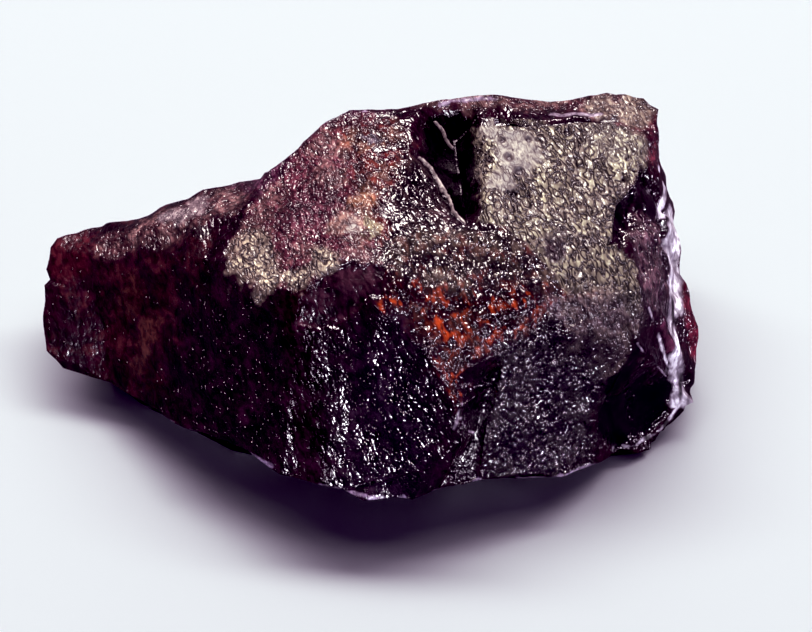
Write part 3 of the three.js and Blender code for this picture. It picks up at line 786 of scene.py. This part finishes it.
skin = {
    # sizes in mm
    "ior": 1.8,
    "strokeTurn": (25, 0, 22),  # degrees
    "distortion": 0.3,
    "crumpleSize": (0.15, 0.27, 0.165),
    "crumpleRise": 0.165 * mm,
    "crumpleShade": (0.5, 1.3),  # how dark its dips and how light its tops are painted: painted shade and highlight
    "wormSize": (0.165, 0.34, 0.20),
    "wormWidth": 0.12,  # share of the noise's range
    "wormRise": 0.07 * mm,
    # how dark the cut worm lines are painted, as painted shade
    "wormShade": 0.05,
    "speckSize": 0.12,
    "speckReach": 0.36,  # share of the speck size
    "speckRise": 0.045 * mm,
    "grainSize": 0.06,
    "grainRise": 0.012 * mm,
    "grainStrength": 0.6,
    "mottleSize": 0.8,
    "mottleShade": (0.55, 1.5),
    "fleckSize": (0.30, 0.5, 0.30),
    "fleckShade": (0.6, 1.4),
    # red painted into the flecks: partly the stone's own colour, partly a painted glow of light shining
    # through it
    "redGlow": (0.26, 0.036, 0.006),
    "redGlowFade": (0.50, 0.66),  # levels of the fleck noise
}


def crystalMaterial():
    mat = bpy.data.materials.new("painite")
    mat.use_nodes = True
    nodes, links = mat.node_tree.nodes, mat.node_tree.links
    body = nodes["Principled BSDF"]

    def attribute(name, out):
        node = nodes.new("ShaderNodeAttribute")
        node.attribute_name = name
        return node.outputs[out]

    def maths(kind, a, b=0.0, clamp=False):
        node = nodes.new("ShaderNodeMath")
        node.operation = kind
        node.use_clamp = clamp
        for socket, value in zip(node.inputs, (a, b)):
            if isinstance(value, (int, float)):
                socket.default_value = value
            else:
                links.new(value, socket)
        return node.outputs[0]

    def spread(value, fromLo, fromHi, toLo=0.0, toHi=1.0):
        node = nodes.new("ShaderNodeMapRange")
        node.interpolation_type = "SMOOTHSTEP"
        links.new(value, node.inputs["Value"])
        node.inputs["From Min"].default_value = fromLo
        node.inputs["From Max"].default_value = fromHi
        node.inputs["To Min"].default_value = toLo
        node.inputs["To Max"].default_value = toHi
        return node.outputs[0]

    def noiseAt(size, detail, turn=(0, 0, 0), distortion=0.0):
        lay = nodes.new("ShaderNodeMapping")
        lay.vector_type = "TEXTURE"
        lay.inputs["Rotation"].default_value = [math.radians(a) for a in turn]
        lay.inputs["Scale"].default_value = [s * mm for s in size]
        links.new(coords.outputs["Object"], lay.inputs["Vector"])
        node = nodes.new("ShaderNodeTexNoise")
        node.inputs["Scale"].default_value = 1.0
        node.inputs["Detail"].default_value = detail
        node.inputs["Distortion"].default_value = distortion
        links.new(lay.outputs[0], node.inputs["Vector"])
        return node.outputs[0]

    def mixed(share, a, b, kind="MIX"):
        node = nodes.new("ShaderNodeMix")
        node.data_type = "RGBA"
        node.blend_type = kind
        for socket, value in ((node.inputs[0], share), (node.inputs[6], a), (node.inputs[7], b)):
            if isinstance(value, (int, float)):
                socket.default_value = value
            elif isinstance(value, tuple):
                socket.default_value = (*value, 1)
            else:
                links.new(value, socket)
        return node.outputs[2]

    coords = nodes.new("ShaderNodeTexCoord")

    # worm-like lines along the halfway level of a noise, raised or cut by the carve attribute
    field = noiseAt(skin["wormSize"], 1.0, skin["strokeTurn"], skin["distortion"])
    line = spread(maths("ABSOLUTE", maths("SUBTRACT", field, 0.5)), 0.0, skin["wormWidth"], 1.0, 0.0)
    carve = maths("MULTIPLY", line, attribute("carve", "Fac"))
    crumple = noiseAt(skin["crumpleSize"], 1.0, skin["strokeTurn"], skin["distortion"])
    grain = noiseAt((skin["grainSize"],) * 3, 1.0)

    # tiny bumps in a share of the cells, as the speck attribute says
    cells = nodes.new("ShaderNodeTexVoronoi")
    cells.inputs["Scale"].default_value = 1 / (skin["speckSize"] * mm)
    links.new(coords.outputs["Object"], cells.inputs["Vector"])
    dice = nodes.new("ShaderNodeSeparateColor")
    links.new(cells.outputs["Color"], dice.inputs[0])
    there = maths("LESS_THAN", dice.outputs[0], attribute("speck", "Fac"))
    speck = maths("MULTIPLY", spread(cells.outputs["Distance"], 0.0, skin["speckReach"], 1.0, 0.0), there)

    mottle = noiseAt((skin["mottleSize"],) * 3, 3.0)
    fleck = noiseAt(skin["fleckSize"], 2.0, skin["strokeTurn"])
    # where the red painted glow shows in the flecks
    glowShare = maths("MULTIPLY", attribute("redGlow", "Fac"), spread(fleck, *skin["redGlowFade"]))
    tint = mixed(glowShare, attribute("tint", "Color"), skin["redGlow"])
    tint = mixed(1.0, tint, spread(mottle, 0.3, 0.7, *skin["mottleShade"]), "MULTIPLY")
    tint = mixed(1.0, tint, spread(fleck, 0.35, 0.65, *skin["fleckShade"]), "MULTIPLY")
    # cut worm lines are painted darker: painted shade in the cuts
    tint = mixed(1.0, tint, spread(carve, -1.0, 0.0, skin["wormShade"], 1.0), "MULTIPLY")
    # the crumple's dips are painted darker and its tops lighter: painted shade and highlight following the
    # bump
    tint = mixed(1.0, tint, spread(crumple, 0.35, 0.6, *skin["crumpleShade"]), "MULTIPLY")
    links.new(tint, body.inputs["Base Color"])
    links.new(attribute("rough", "Fac"), body.inputs["Roughness"])
    links.new(attribute("gloss", "Fac"), body.inputs["Specular IOR Level"])
    body.inputs["IOR"].default_value = skin["ior"]

    def bump(height, rise, strength=1.0, under=None):
        node = nodes.new("ShaderNodeBump")
        node.inputs["Distance"].default_value = rise
        if isinstance(strength, float):
            node.inputs["Strength"].default_value = strength
        else:
            links.new(strength, node.inputs["Strength"])
        links.new(height, node.inputs["Height"])
        if under:
            links.new(under, node.inputs["Normal"])
        return node.outputs[0]

    skinBump = bump(crumple, skin["crumpleRise"], attribute("etch", "Fac"))
    skinBump = bump(carve, skin["wormRise"], under=skinBump)
    skinBump = bump(speck, skin["speckRise"], under=skinBump)
    skinBump = bump(grain, skin["grainRise"], skin["grainStrength"], skinBump)
    links.new(skinBump, body.inputs["Normal"])
    return mat


noise.seed_set(crystal["seed"])
dense = denseCopy("painite_crystal")
paintSkin(dense)
painite = bpy.data.objects.new("painite", dense)
bpy.context.scene.collection.objects.link(painite)
lit["crystal"].objects.link(painite)
stone = crystalMaterial()
applied(painite, reliefTree(stone))
print("crystal ready:", len(painite.data.polygons), "faces")
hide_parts("painite_crystal")
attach(painite, "root")
